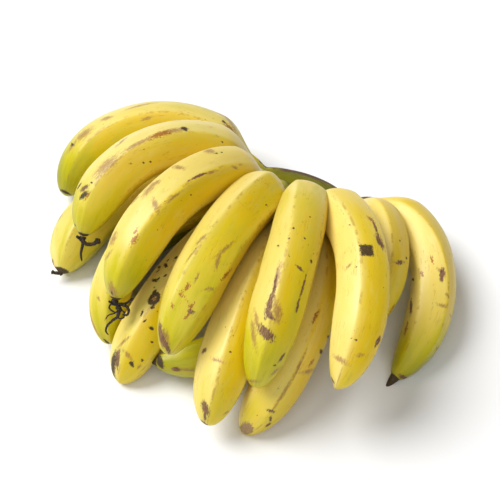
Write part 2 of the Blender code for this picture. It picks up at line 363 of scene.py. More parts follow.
CONE, FLOWERING, STUB = Nub(10.0, 0.4, 1.0), Nub(2.0, 0.7, 0.9), Nub(3.0, 0.6, 1.0)
PLANS = (
    FingerPlan("upper_1", Row.UPPER, -75, -110, 28, 187, 4, 35, 1.21, 41, 52, -11, 0,
               hue=Hue(0.55, 0.55, 0.12)),
    FingerPlan("upper_2", Row.UPPER, -58, -88, 52, 183, 6, 40, 1.06, 38, 44, -15, 30, nub=FLOWERING,
               hue=Hue(0.40, 0.35, 0.06, 0.10)),
    FingerPlan("upper_3", Row.UPPER, -42, -37, 58, 193, 3, 47, 1.12, 39, 52, -29, 50, nub=FLOWERING,
               hue=Hue(0.45, 0.15, 0.06)),
    FingerPlan("upper_4", Row.UPPER, -17, -5, 57, 196, 1, 33, 0.81, 41, 58, 4, 45,
               hue=Hue(0.26, 0.12, 0.20)),
    FingerPlan("upper_5", Row.UPPER, 10, 28, 55, 204, -2, 53, 1.09, 39, 60, 11, -40,
               hue=Hue(0.30, 0.10, 0.22)),
    FingerPlan("upper_6", Row.UPPER, 17, 59, 41, 200, -11, 45, 1.35, 38, 54, 10, -25,
               nub=Nub(2.5, 0.5, 0.0, (-1.2, 0.0, -0.6)), hue=Hue(0.15, 0.25, 0.0)),
    FingerPlan("upper_7", Row.UPPER, 74, 75, 49, 142, -9, 37, 0.95, 34, 58, -8, -40,
               hue=Hue(0.10, 0.20, 0.08)),
    FingerPlan("upper_8", Row.UPPER, 86, 112, 30, 185, -23, 28, 0.75, 35, 60, -22, -100, rests=True,
               nub=CONE, hue=Hue(0.60, 0.30, 0.04)),
    FingerPlan("lower_1", Row.LOWER, -75, -98, 25, 185, 8, 16, 0.85, 42, 41, -8, 0, rests=True,
               nub=Nub(2.0, 0.5, 1.0), hue=Hue(0.12, 0.22, 0.14, 0.30)),
    FingerPlan("lower_2", Row.LOWER, -50, -68, 13, 159, 15, 23, 0.88, 34, 43, 0, 0, hue=Hue(0.9, 0.0, 0.9)),
    FingerPlan("lower_3", Row.LOWER, -32, -54, 37, 193, 39, 50, 1.31, 31, 42, -5, 0,
               hue=Hue(0.35, 0.0, 0.12)),
    FingerPlan("lower_4", Row.LOWER, -19, -23, 39, 183, -6, 22, 0.86, 37, 31, -12, 30, rests=True,
               hue=Hue(0.20, 0.0, 0.08)),
    FingerPlan("lower_5", Row.LOWER, 11, 21, -5, 174, -68, 3, 1.48, 31, 50, 8, 15, nub=STUB,
               hue=Hue(0.25, 0.0, 0.48)),
    FingerPlan("lower_6", Row.LOWER, 5, 6, 34, 195, 6, 44, 1.22, 40, 50, -2, -10, hue=Hue(0.25, 0.0, 0.0)),
    FingerPlan("lower_7", Row.LOWER, 24, 46, 37, 194, -26, 37, 0.95, 37, 42, -25, -65, rests=True,
               hue=Hue(0.15, 0.0, 0.04)),
)


@dataclass(frozen=True)
class SkinShape:
    """What every finger's skin shares: its profile from neck to nub, its ridges and its mesh."""

    neck_radius: float = 7.5
    neck_length: float = 16.0
    shoulder_length: float = 34.0
    nub_share: float = 0.22
    nub_round: float = 0.985
    blunt_power: float = 2.3
    blunt_root: float = 0.75
    ridges: int = 5
    ridge_depth: float = 0.10
    ridge_rise: Span = (12.0, 60.0)
    ridge_fade: float = 0.35
    ridge_fade_length: float = 30.0
    facet_power: float = 24.0
    ridge_jitter: float = 4.0
    dent_depth: float = 0.014
    dent_waves: tuple[Span, ...] = ((1, 90.0), (2, 70.0), (3, 45.0), (2, 32.0))
    # painted light: the angle from the first ridge to the side facing the key light, painted paler, with its
    # opposite painted deeper as shade
    lit_side_angle: float = 38.0
    rest_depth: float = 0.6
    clear_height: float = 1.2
    free_share: float = 0.4
    settle_rounds: int = 3
    axis_steps: int = 60
    body_rows: int = 112
    blunt_rows: int = 46
    nub_rows: int = 8
    sides: int = 144


def smooth_step(low: float, high: float, value: Array) -> Array:
    """Return 0 below low, 1 above high and 3x^2 - 2x^3 between them."""
    share = np.clip((value - low) / (high - low), 0.0, 1.0)
    return share * share * (3.0 - 2.0 * share)


def bell(value: Array, middle: float, width: float) -> Array:
    """Return exp(-d^2), where d is the distance from the middle in widths."""
    return np.exp(-((value - middle) / width) ** 2)


def unit(vectors: Array) -> Array:
    """Return each row scaled to a length of 1."""
    return vectors / np.linalg.norm(vectors, axis=1)[:, None]


def ring_angles(count: int) -> Array:
    """Return even angles round a ring, in radians."""
    return np.arange(count) * FULL_TURN / count


def crown_greens(reach: Array, across: Array) -> tuple[Array, Array]:
    """Return how green and how dark the skin is near the crown, which is riper on its left.

    Args:
        reach: Distances from the crown along a finger.
        across: Places along the crown.

    Returns:
        The green share and the dark green share at each point.
    """
    unripe = 0.35 + 0.65 * smooth_step(-46.0, -20.0, across)
    green = 0.74 * (1.0 - smooth_step(3.0, 38.0, reach))
    dark = 0.80 * (1.0 - smooth_step(2.0, 15.0, reach))
    return green * unripe, dark * unripe ** 2


def heading_vector(heading: float, dip: float) -> Array:
    """Return the unit vector for a plan heading and an angle below the horizon."""
    turn, fall = math.radians(heading), math.radians(dip)
    level = math.cos(fall)
    return np.array([math.sin(turn) * level, -math.cos(turn) * level, -math.sin(fall)])


def smooth_path(points: Array, count: int) -> Array:
    """Return a Catmull-Rom curve: a cubic between each two points, with each slope from its neighbours."""
    padded = np.vstack([2.0 * points[0] - points[1], points, 2.0 * points[-1] - points[-2]])
    spot = np.linspace(0.0, len(points) - 1.0, count)
    index = np.minimum(spot.astype(int), len(points) - 2)
    t = (spot - index)[:, None]
    a, b, c, d = (padded[index + step] for step in range(4))
    square, cube = 2.0 * a - 5.0 * b + 4.0 * c - d, 3.0 * b - a - 3.0 * c + d
    return 0.5 * (2.0 * b + (c - a) * t + square * t ** 2 + cube * t ** 3)


def link(name: str, data: bpy.types.ID) -> Piece:
    """Put a mesh, light or camera into the scene as an object at the origin."""
    piece = bpy.data.objects.new(name, data)
    bpy.context.scene.collection.objects.link(piece)
    return piece


def aim(thing: Piece, place: Vector, back: Vector) -> None:
    """Place a light or camera and point it against a direction that leads back to it."""
    thing.location = place
    thing.rotation_mode = "QUATERNION"
    thing.rotation_quaternion = (-back).to_track_quat("-Z", "Y")


def mesh_object(name: str, points: Array, faces: list[list[int]]) -> Piece:
    """Make a smooth mesh object at the origin from vertices in layout millimetres and its faces."""
    mesh = bpy.data.meshes.new(name)
    mesh.from_pydata(((points - HAND_MIDDLE) * MM).tolist(), [], faces)
    mesh.update()
    mesh.shade_smooth()
    return link(name, mesh)


def tube_faces(rows: int, columns: int) -> list[list[int]]:
    """Return a closed tube's faces: its quads, then two fans on the poles that follow the grid.

    They face outward when each ring runs anticlockwise, seen from where the rings are going.
    """
    row, column = np.meshgrid(np.arange(rows - 1), np.arange(columns), indexing="ij")
    ahead = (column + 1) % columns
    low, high = row * columns, (row + 1) * columns
    quads = np.stack([low + column, low + ahead, high + ahead, high + column], axis=-1).reshape(-1, 4)
    edge = np.arange(columns)
    after = (edge + 1) % columns
    base, first, last = (rows - 1) * columns, rows * columns, rows * columns + 1
    start = np.stack([after, edge, np.full(columns, first)], axis=1)
    end = np.stack([base + edge, base + after, np.full(columns, last)], axis=1)
    return quads.tolist() + start.tolist() + end.tolist()


def with_poles(rings: Array) -> Array:
    """Return a tube's points with the middle of its first and last ring added."""
    poles = np.array([rings[0].mean(axis=0), rings[-1].mean(axis=0)])
    return np.vstack([rings.reshape(-1, 3), poles])


def closed_tube(name: str, rings: Array, floor: float = 0.0) -> Piece:
    """Make a closed tube from its rings, pressed flat where it would pass below a height."""
    points = with_poles(rings)
    points[:, 2] = np.maximum(points[:, 2], floor)
    return mesh_object(name, points, tube_faces(*rings.shape[:2]))


def ring_spokes(angles: Array, first: Array, second: Array) -> Array:
    """Return unit spokes by ring and angle: cosine times one direction plus sine times another."""
    cosine, sine = np.cos(angles)[None, :, None], np.sin(angles)[None, :, None]
    return cosine * first[:, None, :] + sine * second[:, None, :]


def set_attribute(piece: Piece, name: str, values: Array) -> None:
    """Store one number or one row of three for each vertex."""
    kind, key = ("FLOAT_VECTOR", "vector") if values.ndim == 2 else ("FLOAT", "value")
    attribute = piece.data.attributes.new(name, kind, "POINT")
    attribute.data.foreach_set(key, np.ascontiguousarray(values, dtype=np.float32).ravel())


class NodeSheet:
    """A node tree with short calls for adding and joining nodes."""

    def __init__(self, tree: bpy.types.NodeTree) -> None:
        """Keep the tree."""
        self.tree = tree

    def feed(self, socket: Socket, value: object) -> None:
        """Join an input to the output that feeds it, or set its value."""
        if isinstance(value, Socket):
            self.tree.links.new(value, socket)
        else:
            socket.default_value = value

    def add(self, kind: str, links: dict | None = None, **settings: object) -> bpy.types.Node:
        """Add a node.

        Args:
            kind: The node's type.
            links: Input name or number to a value, or to the socket that feeds it.
            **settings: Properties of the node.

        Returns:
            The new node.
        """
        node = self.tree.nodes.new(kind)
        for name, value in settings.items():
            setattr(node, name, value)
        for name, value in (links or {}).items():
            self.feed(node.inputs[name], value)
        return node

    def attribute(self, name: str, output: str = "Fac") -> Socket:
        """Read what each vertex of the mesh carries."""
        return self.add("ShaderNodeAttribute", attribute_name=name).outputs[output]

    def maths(self, operation: str, first: object, second: object, clamp: bool = False) -> Socket:
        """Add a Math node and return its result."""
        links = {0: first, 1: second}
        return self.add("ShaderNodeMath", links, operation=operation, use_clamp=clamp).outputs[0]

    def plus(self, first: object, second: object, clamp: bool = False) -> Socket:
        """Add two values."""
        return self.maths("ADD", first, second, clamp)

    def times(self, first: object, second: object) -> Socket:
        """Multiply two values."""
        return self.maths("MULTIPLY", first, second)

    def spread(self, value: object, low: object, high: object, start: float = 0.0,
               end: float = 1.0) -> Socket:
        """Map a range of a value to another, smoothly and clamped."""
        links = {"Value": value, "From Min": low, "From Max": high, "To Min": start, "To Max": end}
        return self.add("ShaderNodeMapRange", links, interpolation_type="SMOOTHSTEP").outputs["Result"]

    def mix(self, share: object, first: object, second: object) -> Socket:
        """Mix two colours and return the result."""
        pair = ((*value, 1.0) if isinstance(value, tuple) else value for value in (first, second))
        return self.add("ShaderNodeMix", dict(zip((0, 6, 7), (share, *pair))), data_type="RGBA").outputs[2]

    def noise(self, vector: object, scale: object, detail: float = 3.0, rough: float = 0.55) -> Socket:
        """Add a noise texture and return its factor."""
        links = {"Vector": vector, "Scale": scale, "Detail": detail, "Roughness": rough}
        return self.add("ShaderNodeTexNoise", links).outputs["Fac"]

    def stretch(self, vector: object, factors: Point) -> Socket:
        """Scale a vector by a factor on each axis."""
        return self.add("ShaderNodeVectorMath", {0: vector, 1: factors}, operation="MULTIPLY").outputs[0]

    def bump(self, shader: bpy.types.Node, height: Socket, strength: float, depth: float) -> None:
        """Feed a height to a shader's normal, with its depth in metres."""
        node = self.add("ShaderNodeBump", {"Height": height, "Strength": strength, "Distance": depth})
        self.feed(shader.inputs["Normal"], node.outputs["Normal"])


def new_finish(name: str) -> tuple[Material, NodeSheet, bpy.types.Node]:
    """Make a material and return it with its node sheet and its Principled shader."""
    material = bpy.data.materials.new(name)
    material.use_nodes = True
    return material, NodeSheet(material.node_tree), material.node_tree.nodes["Principled BSDF"]


@dataclass(frozen=True)
class Edge:
    """How one kind of mark is drawn: its noise's scale, how ragged, soft and strong it is."""

    scale: float
    ragged: float
    soft: float
    cover: float
    drawn_out: bool = False
    dull: bool = True


EDGES = {
    Mark.SMEAR: Edge(10.0, 1.9, 0.34, 0.66, drawn_out=True, dull=False),
    Mark.RUST: Edge(9.0, 2.4, 0.10, 0.85, dull=False),
    Mark.CORK: Edge(5.0, 0.8, 0.10, 0.92),
    Mark.SCAR: Edge(9.0, 1.4, 0.13, 0.92, drawn_out=True),
    Mark.BRUISE: Edge(9.0, 1.1, 0.13, 0.94),
}


class SharedEffects:
    """The node groups that more than one material uses."""

    def __init__(self) -> None:
        """Build each group once."""
        self.ragged = self._ragged_mark()
        self.grain = self._fibre_grain()

    @staticmethod
    def _open(name: str, numbers: tuple[str, ...], result: str) -> tuple[NodeSheet, object]:
        """Open a group that takes a point and some numbers and gives one number.

        Args:
            name: The group's name.
            numbers: The names of its number inputs.
            result: The name of its output.

        Returns:
            The group's sheet, and the sockets that carry what it is given.
        """
        group = bpy.data.node_groups.new(name, "ShaderNodeTree")
        group.interface.new_socket("Point", in_out="INPUT", socket_type="NodeSocketVector")
        for number in numbers:
            group.interface.new_socket(number, in_out="INPUT", socket_type="NodeSocketFloat")
        group.interface.new_socket(result, in_out="OUTPUT", socket_type="NodeSocketFloat")
        sheet = NodeSheet(group)
        return sheet, sheet.add("NodeGroupInput").outputs

    def _ragged_mark(self) -> bpy.types.NodeTree:
        """Build the group that turns a smooth field into a mark with a ragged, broken edge."""
        sheet, given = self._open("ragged_mark", ("Field", "Scale", "Raggedness", "Softness"), "Mask")
        noise = sheet.noise(given["Point"], given["Scale"], 5.0, 0.65)
        shift = sheet.times(sheet.maths("SUBTRACT", noise, 0.5), given["Raggedness"])
        low = sheet.maths("SUBTRACT", 0.5, given["Softness"])
        high = sheet.plus(0.5, given["Softness"])
        mask = sheet.spread(sheet.plus(given["Field"], shift), low, high)
        present = sheet.spread(given["Field"], 0.03, 0.22)
        sheet.add("NodeGroupOutput", {"Mask": sheet.times(mask, present)})
        return sheet.tree

    def _fibre_grain(self) -> bpy.types.NodeTree:
        """Build the group that gives a fine height of fibres and pores."""
        sheet, given = self._open("fibre_grain", ("Scale",), "Height")
        fibres = sheet.noise(sheet.stretch(given["Point"], (1.0, 1.0, 0.18)), given["Scale"])
        pores = sheet.noise(given["Point"], given["Scale"], 2.0)
        sheet.add("NodeGroupOutput", {"Height": sheet.plus(fibres, pores)})
        return sheet.tree

    def mark(self, sheet: NodeSheet, kind: Mark, point: Socket, edge: Edge) -> Socket:
        """Place the ragged mark group for one kind of blemish.

        Args:
            sheet: The material's nodes.
            kind: The kind of blemish, whose attribute is read.
            point: The socket that gives the skin's coordinates.
            edge: How the mark is drawn.

        Returns:
            The mask's socket.
        """
        links = {"Field": sheet.attribute(kind.value), "Point": point, "Scale": edge.scale,
                 "Raggedness": edge.ragged, "Softness": edge.soft}
        return sheet.add("ShaderNodeGroup", links, node_tree=self.ragged).outputs["Mask"]

    def height(self, sheet: NodeSheet, point: Socket, scale: float) -> Socket:
        """Place the grain group and return its height."""
        links = {"Point": point, "Scale": scale}
        return sheet.add("ShaderNodeGroup", links, node_tree=self.grain).outputs["Height"]


@dataclass(frozen=True)
class PeelFinish:
    """The peel: waxy yellow, green at the ends and on the crown, with its marks."""

    name: str = "banana_peel"
    yellow: Colour = (0.81, 0.575, 0.006)
    pale: Colour = (0.90, 0.77, 0.30)
    deep: Colour = (0.71, 0.44, 0.003)
    lime: Colour = (0.58, 0.50, 0.005)
    green: Colour = (0.26, 0.27, 0.003)
    dark_green: Colour = (0.085, 0.095, 0.002)
    scar: Colour = (0.085, 0.032, 0.024)
    scar_light: Colour = (0.29, 0.125, 0.075)
    cork: Colour = (0.23, 0.13, 0.07)
    cork_light: Colour = (0.42, 0.27, 0.15)
    smear: Colour = (0.26, 0.088, 0.050)
    bruise: Colour = (0.012, 0.008, 0.007)
    rust: Colour = (0.33, 0.085, 0.008)
    ridge_wear: Colour = (0.42, 0.22, 0.03)
    speck: Colour = (0.10, 0.045, 0.015)
    deep_patches: float = 0.50
    # painted shade: how much deep colour the side away from the key light gets
    painted_shade_share: float = 0.6
    pale_patches: float = 0.22
    # painted highlight: how much pale colour the side facing the key light and the ridges get
    painted_highlight_share: float = 0.56
    painted_ridge_highlight: float = 0.14
    worn_ridges: float = 0.55
    hairs: float = 0.50
    scuffs: float = 0.34
    specks: float = 0.7
    roughness: float = 0.34
    matt: float = 0.32
    gloss: float = 0.36
    bump: float = 0.35
    bump_depth: float = 0.0006

    def material(self, effects: SharedEffects) -> Material:
        """Build the peel's material from the mesh's attributes."""
        material, sheet, shader = new_finish(self.name)
        point = sheet.attribute("skin_point", "Vector")
        drawn = sheet.stretch(point, (1.0, 1.0, 0.35))
        slow = sheet.noise(drawn, 0.42, 2.0)
        broad = sheet.noise(drawn, 1.9, 4.0, 0.6)
        colour = self.ground(sheet, slow, broad)
        colour = self.greens(sheet, colour, slow, broad)
        colour = self.wear(sheet, colour, point)
        colour, dull = self.marks(sheet, effects, colour, point)
        sheet.feed(shader.inputs["Base Color"], colour)
        rough = sheet.plus(sheet.spread(broad, 0.3, 0.7, -0.05, 0.07), self.roughness)
        matt = sheet.maths("MAXIMUM", dull, sheet.attribute("dark"))
        rough = sheet.plus(rough, sheet.times(matt, self.matt), clamp=True)
        sheet.feed(shader.inputs["Roughness"], rough)
        dents = sheet.times(sheet.noise(drawn, 1.2), 1.4)
        height = sheet.plus(sheet.times(effects.height(sheet, point, 6.0), 0.20), dents)
        height = sheet.plus(height, sheet.times(dull, -0.55))
        sheet.bump(shader, height, self.bump, self.bump_depth)
        sheet.feed(shader.inputs["Specular IOR Level"], self.gloss)
        return material

    def ground(self, sheet: NodeSheet, slow: Socket, broad: Socket) -> Socket:
        """Return the yellow ground: deeper and paler patches, painted highlight on the side facing the key
        light, painted shade on the side away from it, and paler ridges as painted highlight.
        """
        # Painted light: pale as a highlight on the side facing the key light, deep as shade on the side away
        # from it.
        side = sheet.attribute("painted_light_side")
        deep = sheet.plus(sheet.spread(slow, 0.30, 0.62, self.deep_patches, 0.0),
                          sheet.spread(side, -1.0, 0.1, self.painted_shade_share, 0.0))
        colour = sheet.mix(sheet.maths("MINIMUM", deep, 1.0), self.yellow, self.deep)
        light = sheet.plus(sheet.spread(broad, 0.45, 0.80, 0.0, self.pale_patches), sheet.attribute("pale"))
        light = sheet.plus(light, sheet.spread(side, 0.25, 1.0, 0.0, self.painted_highlight_share), clamp=True)
        colour = sheet.mix(light, colour, self.pale)
        # Paler along the ridges: a painted highlight.
        ridge = sheet.spread(sheet.attribute("ridge"), 0.50, 1.0, 0.0, self.painted_ridge_highlight)
        return sheet.mix(ridge, colour, self.pale)

    def greens(self, sheet: NodeSheet, colour: Socket, slow: Socket, broad: Socket) -> Socket:
        """Return the ground with its lime, green and dark green parts."""
        green = sheet.attribute("green")
        change = sheet.plus(sheet.spread(slow, 0.35, 0.75, -0.08, 0.12),
                            sheet.spread(broad, 0.4, 0.7, -0.05, 0.05))
        live = sheet.times(change, sheet.spread(green, 0.0, 0.15, 0.35, 1.0))
        total = sheet.plus(green, live, clamp=True)
        colour = sheet.mix(sheet.spread(total, 0.0, 0.5), colour, self.lime)
        colour = sheet.mix(sheet.spread(total, 0.30, 1.0), colour, self.green)
        return sheet.mix(sheet.attribute("dark"), colour, self.dark_green)

    def wear(self, sheet: NodeSheet, colour: Socket, point: Socket) -> Socket:
        """Return the ground with rubbed ridges, fine lines, scuffs and small scattered specks."""
        ridge = sheet.spread(sheet.attribute("ridge"), 0.965, 1.0)
        broken = sheet.spread(sheet.noise(point, 0.9, 5.0, 0.7), 0.50, 0.60)
        worn = sheet.times(sheet.times(ridge, broken), self.worn_ridges)
        colour = sheet.mix(worn, colour, self.ridge_wear)
        strands = sheet.noise(sheet.stretch(point, (1.0, 1.0, 0.10)), 3.2, 3.0, 0.6)
        off = sheet.maths("ABSOLUTE", sheet.maths("SUBTRACT", strands, 0.5), 0.0)
        hair = sheet.times(sheet.spread(off, 0.0, 0.018, 1.0, 0.0),
                           sheet.spread(sheet.noise(point, 0.8, 3.0, 0.6), 0.50, 0.62))
        colour = sheet.mix(sheet.times(hair, self.hairs), colour, self.ridge_wear)
        drawn = sheet.stretch(point, (1.0, 1.0, 0.40))
        scuff = sheet.spread(sheet.noise(drawn, 2.4, 6.0, 0.75), 0.60, 0.72, 0.0, self.scuffs)
        colour = sheet.mix(scuff, colour, self.ridge_wear)
        cells = sheet.add("ShaderNodeTexVoronoi", {"Vector": point, "Scale": 2.1, "Randomness": 1.0})
        draw = sheet.add("ShaderNodeSeparateColor", {"Color": cells.outputs["Color"]})
        reach = sheet.spread(draw.outputs[0], 0.52, 1.0, 0.0, 0.12)
        dot = sheet.spread(sheet.maths("SUBTRACT", reach, cells.outputs["Distance"]), 0.0, 0.03)
        place = sheet.spread(sheet.noise(point, 0.45, 2.0), 0.43, 0.60)
        return sheet.mix(sheet.times(sheet.times(dot, place), self.specks), colour, self.speck)

    def marks(self, sheet: NodeSheet, effects: SharedEffects, colour: Socket,
              point: Socket) -> tuple[Socket, Socket]:
        """Return the ground with its blemishes, and the mask of those that are dull."""
        drawn = sheet.stretch(point, (1.0, 1.0, 0.45))
        fleck = sheet.spread(sheet.noise(drawn, 14.0, 4.0, 0.7), 0.42, 0.62)
        paints = {
            Mark.SMEAR: self.smear,
            Mark.RUST: self.rust,
            Mark.CORK: sheet.mix(fleck, self.cork, self.cork_light),
            Mark.SCAR: sheet.mix(fleck, self.scar, self.scar_light),
            Mark.BRUISE: sheet.mix(sheet.times(fleck, 0.8), self.bruise, self.scar),
        }
        dull = 0.0
        for kind, paint in paints.items():
            edge = EDGES[kind]
            mask = effects.mark(sheet, kind, drawn if edge.drawn_out else point, edge)
            colour = sheet.mix(sheet.times(mask, edge.cover), colour, paint)
            dull = sheet.maths("MAXIMUM", dull, mask) if edge.dull else dull
        return colour, dull


@dataclass(frozen=True)
class DryFinish:
    """Dry tissue in two tones with a rough surface: the crown's cut face or a dried flower."""

    name: str
    dark: Colour
    light: Colour
    patches: tuple[Point, ...]
    fade: Span
    roughness: float
    grain: float
    bump: float
    bump_depth: float

    def material(self, effects: SharedEffects) -> Material:
        """Build the material, whose tone is the sum of its patches: noise by scale, detail and roughness."""
        material, sheet, shader = new_finish(self.name)
        point = sheet.stretch(sheet.add("ShaderNodeTexCoord").outputs["Object"], CENTIMETRES)
        tone = 0.0
        for patch in self.patches:
            tone = sheet.plus(tone, sheet.noise(point, *patch))
        colour = sheet.mix(sheet.spread(tone, *self.fade), self.dark, self.light)
        sheet.feed(shader.inputs["Base Color"], colour)
        sheet.feed(shader.inputs["Roughness"], self.roughness)
        sheet.bump(shader, effects.height(sheet, point, self.grain), self.bump, self.bump_depth)
        return material


PITH = DryFinish("crown_cut", (0.075, 0.042, 0.020), (0.26, 0.17, 0.08), ((1.3, 3.0, 0.55), (8.0, 5.0, 0.7)),
                 (0.85, 1.20), 0.85, 10.0, 0.8, 0.0012)
DRY_FLOWER = DryFinish("dried_flower", (0.016, 0.010, 0.007), (0.11, 0.055, 0.026), ((9.0, 4.0, 0.7),),
                       (0.48, 0.70), 0.7, 14.0, 0.9, 0.0006)
RIND = PeelFinish("crown_rind", green=(0.25, 0.24, 0.003), dark_green=(0.13, 0.125, 0.003),
                  scar=(0.055, 0.024, 0.016), scar_light=(0.21, 0.11, 0.06), roughness=0.5, gloss=0.12)


@dataclass
class Finger:
    """A banana finger's mesh, worked out from its plan."""

    plan: FingerPlan
    crown: CrownPlan
    shape: SkinShape
    seed: int
    marks: dict[Mark, tuple[Blemish, ...]]
    seed_step: float = 7.0
    least_radius: float = 3.0

    def tangents(self, shares: Array) -> Array:
        """Return axis directions at shares of the length.

        The direction turns along a great circle from leaving to tip direction, by share ** bend.
        """
        start = heading_vector(self.plan.leave_heading, -self.plan.leave_rise)
        end = heading_vector(self.plan.tip_heading, self.plan.tip_dip)
        angle = math.acos(float(np.clip(start @ end, -1.0, 1.0)))
        turn = (shares ** self.plan.bend)[:, None]
        return (np.sin((1.0 - turn) * angle) * start + np.sin(turn * angle) * end) / math.sin(angle)

    def axis(self, stations: Array) -> Array:
        """Return axis points: the directions added up in short steps, read at the stations."""
        steps = self.shape.axis_steps
        mids = (np.arange(steps) + 0.5) / steps
        moves = self.tangents(mids) * self.plan.length / steps
        start = self.crown.root(self.plan.root, self.plan.row)
        line = start + np.vstack([np.zeros(3), np.cumsum(moves, axis=0)])
        marks = np.linspace(0.0, self.plan.length, steps + 1)
        return np.column_stack([np.interp(stations, marks, line[:, k]) for k in range(3)])

    def frames(self, stations: Array) -> tuple[Array, Array, Array]:
        """Return unit vectors at each station: along the finger, up from it and to its side."""
        along = self.tangents(np.clip(stations / self.plan.length, 0.001, 1.0))
        up = unit(np.array([0.0, 0.0, 1.0]) - along * along[:, 2:3])
        return along, up, np.cross(along, up)

    def radius(self, stations: Array) -> Array:
        """Return the radius over the ridges: neck, smooth shoulder, body and blunt end."""
        shape, plan = self.shape, self.plan
        rise = smooth_step(shape.neck_length, shape.neck_length + shape.shoulder_length, stations)
        left = np.clip((plan.length - stations) / plan.blunt, 0.0, 1.0)
        dome = (1.0 - (1.0 - left) ** shape.blunt_power) ** shape.blunt_root
        blunt = shape.nub_share + (1.0 - shape.nub_share) * dome
        return (shape.neck_radius + (plan.girth / 2 - shape.neck_radius) * rise) * blunt

    def stations(self) -> Array:
        """Return the ring distances, closer together over the blunt end."""
        shape, plan = self.shape, self.plan
        body = np.linspace(0.0, plan.length - plan.blunt, shape.body_rows, endpoint=False)
        turn = np.linspace(0.0, math.pi / 2, shape.blunt_rows)
        return np.concatenate([body, plan.length - plan.blunt * (1.0 - np.sin(turn))])

    def winding(self, stations: Array) -> Array:
        """Return the first ridge's angle at each station: the ridges wind along the finger."""
        return self.plan.roll + self.plan.twist * (stations / self.plan.length - 0.5)

    def ridge_angles(self, angles: Array, stations: Array) -> Array:
        """Return each point's angle from the first ridge, in radians."""
        return angles[None, :] - np.radians(self.winding(stations))[:, None]

    def facets(self, angles: Array, stations: Array) -> Array:
        """Return the share of the radius at each station and angle.

        A rounded polygon is the inverse of a high-power sum of its facets' cosines. It is read at
        the winding angle, and fades to the circle at the neck and partly at the tip.
        """
        shape = self.shape
        draw = np.random.default_rng(self.seed)
        step = 360.0 / shape.ridges
        jitter = draw.uniform(-shape.ridge_jitter, shape.ridge_jitter, shape.ridges)
        normals = np.radians(step * (np.arange(shape.ridges) + 0.5) + jitter)
        fine = np.radians(np.arange(0.0, 360.0, 0.5))
        reach = np.clip(np.cos(fine[:, None] - normals), 0.0, 1.0)
        polygon = (reach ** shape.facet_power).sum(axis=1) ** (-1.0 / shape.facet_power)
        polygon /= polygon.max()
        share = shape.ridge_depth / (1.0 - polygon.min())
        local = self.ridge_angles(angles, stations)
        table = np.interp(local.ravel() % FULL_TURN, fine, polygon, period=FULL_TURN).reshape(local.shape)
        past = stations - self.plan.length
        ending = 1.0 - shape.ridge_fade * smooth_step(-shape.ridge_fade_length, 0.0, past)
        strength = smooth_step(*shape.ridge_rise, stations) * ending
        return 1.0 - share * strength[:, None] * (1.0 - table)

    def dents(self, angles: Array, stations: Array) -> Array:
        """Return a factor near 1: a few slow seeded waves round and along the finger."""
        draw = np.random.default_rng(self.seed + DENT_SEED)
        waves = self.shape.dent_waves
        total = np.zeros((len(stations), len(angles)))
        for count, wave in waves:
            phase = draw.uniform(0.0, FULL_TURN, 2)
            around = np.cos(count * angles[None, :] + phase[0])
            total += around * np.cos(FULL_TURN * stations[:, None] / wave + phase[1])
        return 1.0 - self.shape.dent_depth * (1.0 + total / len(waves))

    def surface(self) -> tuple[Array, Array, Array]:
        """Return the skin's ring points by station and angle, the stations, and the angles."""
        stations = self.stations()
        angles = ring_angles(self.shape.sides)
        _, up, side = self.frames(stations)
        reach = self.radius(stations)[:, None] * self.facets(angles, stations) * self.dents(angles, stations)
        rings = self.axis(stations)[:, None, :] + reach[:, :, None] * ring_spokes(angles, up, side)
        return self.settle(rings, stations / self.plan.length), stations, angles

    def settle(self, rings: Array, shares: Array) -> Array:
        """Bend the finger up or down until its lowest skin point is where the surface wants it."""
        weight = (shares ** 2)[:, None]
        free = shares > self.shape.free_share
        target = -self.shape.rest_depth if self.plan.rests else self.shape.clear_height
        for _ in range(self.shape.settle_rounds):
            heights = rings[free, :, 2]
            row = int(heights.min(axis=1).argmin())
            change = target - heights.min()
            if self.plan.rests or change > 0.0:
                rings[:, :, 2] += change * weight / weight[free][row]
        return rings

    def end_point(self) -> tuple[Array, Array]:
        """Return the middle of the blossom end and the direction it points in."""
        rings, _, _ = self.surface()
        return rings[-1].mean(axis=0), self.tangents(np.array([1.0]))[0]

    def nub_rings(self, last: Array) -> tuple[Array, Array]:
        """Return the rings that close the blossom end, and how far along the nub each lies.

        Each ring is the last skin ring, narrowed by 1 - (1 - taper) * s and rounded off like a
        quarter ellipse at its end, moved ahead by s and towards the lean by s squared.
        """
        nub = self.plan.nub
        steps = np.sin(np.linspace(0.0, math.pi / 2, self.shape.nub_rows + 1)[1:])
        centre = last.mean(axis=0)
        ahead = self.tangents(np.array([1.0]))[0]
        rounding = np.sqrt(np.clip(1.0 - (steps * self.shape.nub_round) ** 4, 0.0, 1.0))
        narrow = (1.0 - (1.0 - nub.taper) * steps) * rounding
        shift = ahead * (nub.length * steps)[:, None] + np.array(nub.lean) * (steps ** 2)[:, None]
        return centre + shift[:, None, :] + (last - centre)[None] * narrow[:, None, None], steps

    def greenness(self, stations: Array, angles: Array) -> Array:
        """Return how green the skin is at the tip, underneath and all over."""
        hue = self.plan.hue
        tip = hue.tip * smooth_step(-62.0, -4.0, stations - self.plan.length)
        under = hue.under * (0.5 - 0.5 * np.cos(angles)) ** 1.5
        return np.clip(tip[:, None] + under[None, :] + hue.base, 0.0, 1.0)

    def painted_light_side(self, stations: Array, angles: Array, blend: float = 0.16) -> Array:
        """Return 1 where the skin faces the key light, which is painted paler as a highlight, and -1
        opposite it, which is painted deeper as shade.

        Each facet has the cosine of its own middle, and two facets blend over their ridge.
        """
        step = 360.0 / self.shape.ridges
        facet = np.degrees(self.ridge_angles(angles, stations)) / step
        index = np.floor(facet)
        share = facet - index
        middle = (self.winding(stations) - self.shape.lit_side_angle)[:, None] + (index + 0.5) * step
        own, before, after = (np.cos(np.radians(middle + move)) for move in (0.0, -step, step))
        first = 1.0 - smooth_step(-blend, blend, share)
        last = smooth_step(1.0 - blend, 1.0 + blend, share)
        return own + first * (before - own) + last * (after - own)

